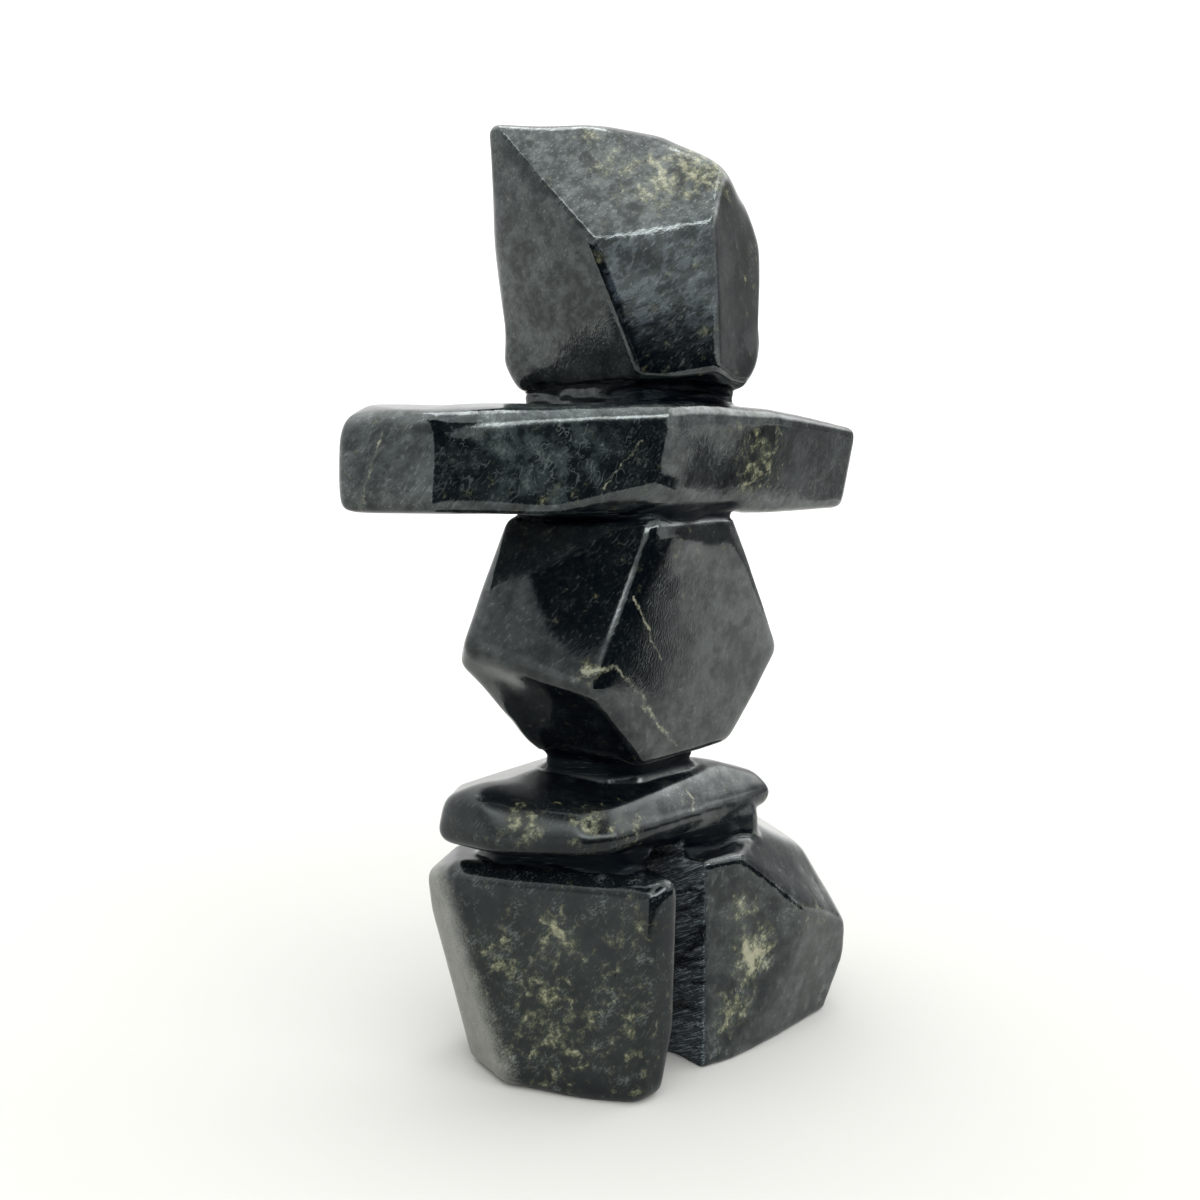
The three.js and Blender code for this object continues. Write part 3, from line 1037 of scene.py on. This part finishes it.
inputs = {"Base Color": raw_colour, "Roughness": RAW_ROUGHNESS, "Specular IOR Level": RAW_SHINE}
raw = paper.node("ShaderNodeBsdfPrincipled", {}, inputs | {"Specular Tint": BLUE_CAST, "Normal": bump})
surface = paper.node("ShaderNodeMixShader", {}, {0: stored["rasped"], 1: polished, 2: raw})
paper.node("ShaderNodeOutputMaterial", {}, {"Surface": surface})
figure.data.materials.clear()
figure.data.materials.append(stone)
print("nodes in the whole stone:", len(stone.node_tree.nodes))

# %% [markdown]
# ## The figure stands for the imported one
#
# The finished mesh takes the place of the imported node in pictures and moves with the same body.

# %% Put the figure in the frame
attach(figure, "root")
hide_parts("carved_figure")
print("finished piece:", figure.name)

# %% [markdown]
# ## Floor
#
# The figure stands on plain pale paper, with painted shade that makes it a little darker near the feet.
# A matt plane does for it, wide enough to meet the white of the room behind.

# %% Floor
FLOOR_SIZE = 4.0
# Painted shade: the paper is darker near the figure and lighter further away
FLOOR_SHADED_NEAR = colour(0.366, 0.366, 0.353)
FLOOR_LIT_FAR = colour(0.50, 0.50, 0.49)
FLOOR_SHADE_FADE = (0.15, 0.75)
FLOOR_ROUGHNESS = 0.9
MATT_SHINE = 0.2
UNDER_FEET = -0.02 * MM


def rectangle(name, corners, material):
    """A single flat face that belongs to the studio and not to the object."""
    mesh = bpy.data.meshes.new(name)
    mesh.from_pydata(corners, [], [range(len(corners))])
    mesh.materials.append(material)
    made = bpy.data.objects.new(name, mesh)
    bpy.context.scene.collection.objects.link(made)
    return made


def matt(sheet, base, rough):
    """Finishes a material as a matt surface of a colour, plain or worked out by a wire."""
    inputs = {"Base Color": base, "Roughness": rough, "Specular IOR Level": MATT_SHINE}
    shine = sheet.node("ShaderNodeBsdfPrincipled", {}, inputs)
    sheet.node("ShaderNodeOutputMaterial", {}, {"Surface": shine})


half = FLOOR_SIZE / 2
floor_corners = [(x, y, UNDER_FEET) for x, y in ((-half, -half), (half, -half), (half, half), (-half, half))]
pale_paper, sheet = new_material("pale paper")
from_figure = sheet.node("ShaderNodeTexCoord", output="Object")
from_figure = sheet.node("ShaderNodeVectorMath", {"operation": "LENGTH"}, {0: from_figure}, "Value")
matt(sheet, blended(rising(from_figure, *FLOOR_SHADE_FADE), FLOOR_SHADED_NEAR, FLOOR_LIT_FAR), FLOOR_ROUGHNESS)
rectangle("floor", floor_corners, pale_paper)
print("floor, m:", FLOOR_SIZE, "wide")

# %% [markdown]
# ## Dark cloths
#
# A near-black polished stone shows little but what it mirrors, and in a room that is white all round every
# facet would look the same pale grey. A photographer hangs dark cloth out of the picture, so that some facets
# stay black. One long cloth curves around the front here, and small ones hang close by for single facets.

# %% The long cloth
BLACK = 0.003

# Headings in degrees, then the distance and height in metres
CLOTH_FROM = -52.0
CLOTH_TO = 55.5
CLOTH_DISTANCE = 0.40
CLOTH_TOP = 0.222
CLOTH_PANELS = 14

# It hangs higher behind the camera and lower on the right: by how much, and from and to which headings
CAMERA_SIDE = -38.0
CAMERA_REACH = (10, 24)
CLOTH_EXTRA = 0.05
CLOTH_FALL = 0.12
FALL_REACH = (40, 10)


def hang_cloth(name, corners, lightness):
    """A matt cloth that is visible in reflections alone."""
    cloth_material, weave = new_material(name)
    matt(weave, colour(lightness, lightness, lightness), 1.0)
    cloth = rectangle(name, corners, cloth_material)
    cloth.visible_camera = False
    cloth.visible_diffuse = False
    cloth.visible_shadow = False


def top_at(side):
    """The height of the long cloth's top at a heading."""
    extra = CLOTH_EXTRA * fade(abs(side - CAMERA_SIDE), *CAMERA_REACH)
    return CLOTH_TOP + extra - CLOTH_FALL * fade(side, *FALL_REACH)


stops = np.linspace(CLOTH_FROM, CLOTH_TO, CLOTH_PANELS + 1)
for panel, (start, end) in enumerate(itertools.pairwise(stops)):
    left, right = (facing(side, 0) * CLOTH_DISTANCE for side in (start, end))
    corners = [left, right, right + (0, 0, top_at(end)), left + (0, 0, top_at(start))]
    hang_cloth(f"front_cloth_{panel}", corners, BLACK)
print("panels of the long cloth:", CLOTH_PANELS)

# %% The small cloths
# Over the left arm for one facet of the torso, below the face, and by the right arm.
# How light each one is, from black 0 to white 1, then its corners in millimetres
SMALL_CLOTHS = {
    "left_cloth": (BLACK, (-96, -10, 230), (-113, -54, 172), (-98, -77, 174), (-60, -72, 236)),
    "face_cloth": (BLACK, (-66, -118, 150), (16, -124, 150), (16, -124, 218), (-66, -118, 218)),
    "face_cloth_hem": (0.26, (-66, -118, 218), (16, -124, 218), (16, -124, 228), (-66, -118, 228)),
    "right_cloth_near": (0.14, (94, -84, 138), (172, -92, 128), (172, -92, 176), (94, -84, 176)),
    "right_cloth_middle": (0.42, (172, -92, 128), (246, -100, 112), (246, -100, 176), (172, -92, 176)),
    "right_cloth_far": (0.42, (246, -100, 112), (300, -30, 100), (300, -30, 176), (246, -100, 176)),
}

for name, (lightness, *corners) in SMALL_CLOTHS.items():
    hang_cloth(name, np.array(corners) * MM, lightness)
print("small cloths:", len(SMALL_CLOTHS))

# %% [markdown]
# ## Walls, ceiling and windows
#
# The rest of the room is drawn by the world shader from the direction of view: white walls, a brighter
# ceiling, two stretches of wall in shade, and windows. The long window high at the front draws the bright
# lines along the ridges. One soft box overhead lights the floor and the tops.

# %% Walls, ceiling and windows
WALLS = 1.38
CEILING = 2.75
CEILING_CHANGE = (20, 70)
ROOM_WHITE = colour(1.0, 1.0, 0.99)

# The share of light that goes, then headings from and to with a soft edge, then elevations, all in degrees
SHADED = {
    "right": (0.7, (58, 104, 12), (-90, 17, 7)),
    "front left": (0.45, (-80, -58, 6), (16, 46, 5)),
}

# The light that comes on top, then the headings and the elevations
WINDOWS = {
    "high on the right": (2.6, (45, 95, 10), (20, 50, 6)),
    "long, high at the front": (8.0, (-52, 30, 3), (28, 40, 3)),
    "small, for the head's long ridge": (5.0, (-63, -48, 2), (40, 48, 2)),
}

world = bpy.data.worlds.new("white room")
bpy.context.scene.world = world
world.use_nodes = True
world.node_tree.nodes.clear()
sky = Wire(world.node_tree)
toward = sky.node("ShaderNodeTexCoord", output="Generated")
split = [sky.node("ShaderNodeSeparateXYZ", {}, {0: toward}, axis) for axis in "XYZ"]
elevation = sky.node("ShaderNodeMath", {"operation": "ARCSINE"}, {0: split[2]}) * math.degrees(1)
heading = sky.math("ARCTAN2", split[0], 0 - split[1]) * math.degrees(1)


def part(angle, low, high, soft):
    """1 where an angle lies between two others, with a soft change at both ends."""
    return rising(angle, low - soft, low + soft) * rising(angle, high + soft, high - soft)


brightness = WALLS + (CEILING - WALLS) * rising(elevation, *CEILING_CHANGE)
for share, across, upward in SHADED.values():
    brightness = brightness * (1 - share * part(heading, *across) * part(elevation, *upward))
for extra, across, upward in WINDOWS.values():
    brightness = brightness + extra * part(heading, *across) * part(elevation, *upward)
glow = sky.node("ShaderNodeBackground", {}, {"Color": ROOM_WHITE, "Strength": brightness})
sky.node("ShaderNodeOutputWorld", {}, {"Surface": glow})
print("nodes in the room:", len(world.node_tree.nodes))

# %% Soft box
FIGURE_MIDDLE = Vector((0, 0, 0.16))
BOX_SIDE = (160, 84)
BOX_DISTANCE = 1.1
BOX_WIDTH = 0.50
BOX_RADIANCE = 1.6

# A square area light of one square metre needs this energy for a radiance of one
ENERGY_FOR_ONE = 4 * math.pi

light = bpy.data.lights.new("overhead box", "AREA")
light.shape = "SQUARE"
light.size = BOX_WIDTH
light.energy = ENERGY_FOR_ONE * BOX_RADIANCE * BOX_WIDTH**2
box = bpy.data.objects.new("overhead box", light)
away = Vector(facing(*BOX_SIDE))
box.location = FIGURE_MIDDLE + away * BOX_DISTANCE
box.rotation_euler = away.to_track_quat("Z", "Y").to_euler()
box.visible_camera = False
bpy.context.scene.collection.objects.link(box)
print("soft box, m above the floor:", round(box.location.z, 2))

# %% [markdown]
# ## Camera
#
# The picture was taken from the figure's front left, level with its arms, from close by. The camera stands
# 43 degrees round to the left and looks down by 6.4 degrees.

# %% Camera
CAMERA_PLACE = Vector((-267.6, -281.9, 181.0)) * MM
CAMERA_TURN = 43.0
CAMERA_TILT = 6.36
FOCAL_LENGTH = 39.0
SENSOR_WIDTH = 36.0

lens = bpy.data.cameras.new("camera")
lens.lens = FOCAL_LENGTH
lens.sensor_width = SENSOR_WIDTH
camera = bpy.data.objects.new("camera", lens)
camera.location = CAMERA_PLACE
camera.rotation_euler = (math.radians(90 - CAMERA_TILT), 0, -math.radians(CAMERA_TURN))
bpy.context.scene.collection.objects.link(camera)
bpy.context.scene.camera = camera
bpy.context.scene.view_settings.view_transform = "Standard"
print("camera, mm from the figure:", round(CAMERA_PLACE.xy.length / MM))
